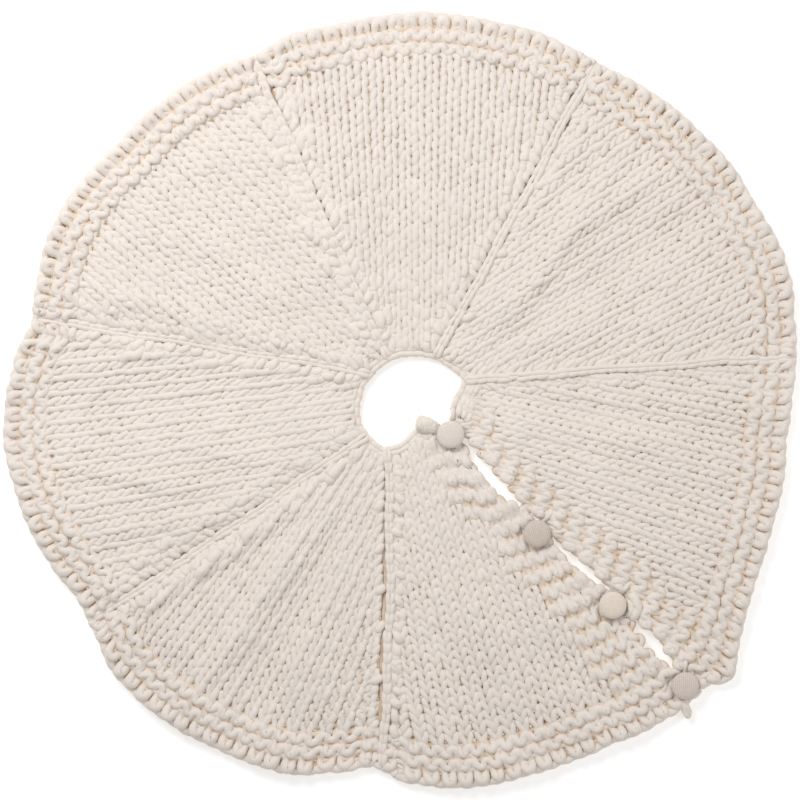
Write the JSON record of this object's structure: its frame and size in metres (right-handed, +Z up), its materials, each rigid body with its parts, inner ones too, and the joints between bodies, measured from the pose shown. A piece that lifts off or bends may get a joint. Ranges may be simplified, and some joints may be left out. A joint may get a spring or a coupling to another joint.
{
  "type": "tree skirt",
  "caption": "Chunky hand-knit round tree skirt of wedge panels with raised seams, garter-stitch hem, trunk opening and a slit closed by covered buttons and yarn loops.",
  "frame": {"origin": "centre of the outline's bounding box at floor level, under the fabric", "axes": "+Z up, out of the knit face; +X towards the seam between panels 2 and 3; the slit runs towards +X and -Y"},
  "size_m": [1.2243, 1.198, 0.0323],
  "materials": {
    "wool_knit": "matte thick-thin roving wool yarn, stockinette with garter hem",
    "wool_edging": "matte wool yarn, chain edging",
    "button_cloth": "matte fine-rib jersey stretched over a dome",
    "button_metal": "satin pressed back plate",
    "sewing_thread": "wrapped sewing thread"
  },
  "bodies": {
    "wedge_7": {"panel_7": "wool_knit", "collar_7": "wool_edging", "seam_7_1": "wool_knit", "seam_6_7": "wool_knit"},
    "wedge_1": {"panel_1": "wool_knit", "collar_1": "wool_edging", "seam_1_2": "wool_knit"},
    "wedge_2": {"panel_2": "wool_knit", "collar_2": "wool_edging", "seam_2_3": "wool_knit"},
    "wedge_3": {"panel_3": "wool_knit", "collar_3": "wool_edging", "loop_1": "wool_edging", "loop_2": "wool_edging", "loop_3": "wool_edging", "loop_4": "wool_edging"},
    "wedge_6": {"panel_6": "wool_knit", "collar_6": "wool_edging", "seam_5_6": "wool_knit"},
    "wedge_5": {"panel_5": "wool_knit", "collar_5": "wool_edging", "seam_4_5": "wool_knit"},
    "wedge_4": {"panel_4": "wool_knit", "collar_4": "wool_edging", "collar_tab": "wool_edging", "yarn_tail": "wool_edging"},
    "button_1": {"button_1_cap": "button_cloth", "button_1_back": "button_metal", "button_1_thread": "sewing_thread"},
    "button_2": {"button_2_cap": "button_cloth", "button_2_back": "button_metal", "button_2_thread": "sewing_thread"},
    "button_3": {"button_3_cap": "button_cloth", "button_3_back": "button_metal", "button_3_thread": "sewing_thread"},
    "button_4": {"button_4_cap": "button_cloth", "button_4_back": "button_metal", "button_4_thread": "sewing_thread"}
  },
  "joints": [
    {"name": "fold_7_1", "type": "hinge", "parent": "wedge_7", "child": "wedge_1", "pos_m": [-0.0262, 0.0785, 0.016], "axis": [0.406, -0.9139, 0], "range_deg": [0, 70]},
    {"name": "fold_1_2", "type": "hinge", "parent": "wedge_1", "child": "wedge_2", "pos_m": [0.0631, 0.0816, 0], "axis": [-0.4757, -0.8796, 0], "range_deg": [-160, 0]},
    {"name": "fold_2_3", "type": "hinge", "parent": "wedge_2", "child": "wedge_3", "pos_m": [0.114, 0.0308, 0.016], "axis": [-0.9974, -0.0716, 0], "range_deg": [0, 160], "deforming": ["loop_1", "loop_2", "loop_3", "loop_4"]},
    {"name": "fold_6_7", "type": "hinge", "parent": "wedge_7", "child": "wedge_6", "pos_m": [-0.0739, 0.0462, 0.016], "axis": [-0.9871, 0.1602, 0], "range_deg": [0, 70]},
    {"name": "fold_5_6", "type": "hinge", "parent": "wedge_6", "child": "wedge_5", "pos_m": [-0.0616, -0.0616, 0], "axis": [-0.8296, -0.5584, 0], "range_deg": [-110, 0]},
    {"name": "fold_4_5", "type": "hinge", "parent": "wedge_5", "child": "wedge_4", "pos_m": [-0.0185, -0.0785, 0.016], "axis": [-0.0188, -0.9998, 0], "range_deg": [0, 160]},
    {"name": "button_1_tilt", "type": "hinge", "parent": "wedge_4", "child": "button_1", "pos_m": [0.0778, -0.0531, 0.0165], "axis": [0.7071, -0.7071, 0], "range_deg": [-15, 15]},
    {"name": "button_2_tilt", "type": "hinge", "parent": "wedge_4", "child": "button_2", "pos_m": [0.211, -0.2056, 0.0165], "axis": [0.7071, -0.7071, 0], "range_deg": [-15, 15]},
    {"name": "button_3_tilt", "type": "hinge", "parent": "wedge_4", "child": "button_3", "pos_m": [0.3273, -0.3157, 0.0165], "axis": [0.7071, -0.7071, 0], "range_deg": [-15, 15]},
    {"name": "button_4_tilt", "type": "hinge", "parent": "wedge_4", "child": "button_4", "pos_m": [0.4389, -0.4397, 0.0165], "axis": [0.7071, -0.7071, 0], "range_deg": [-15, 15]}
  ]
}
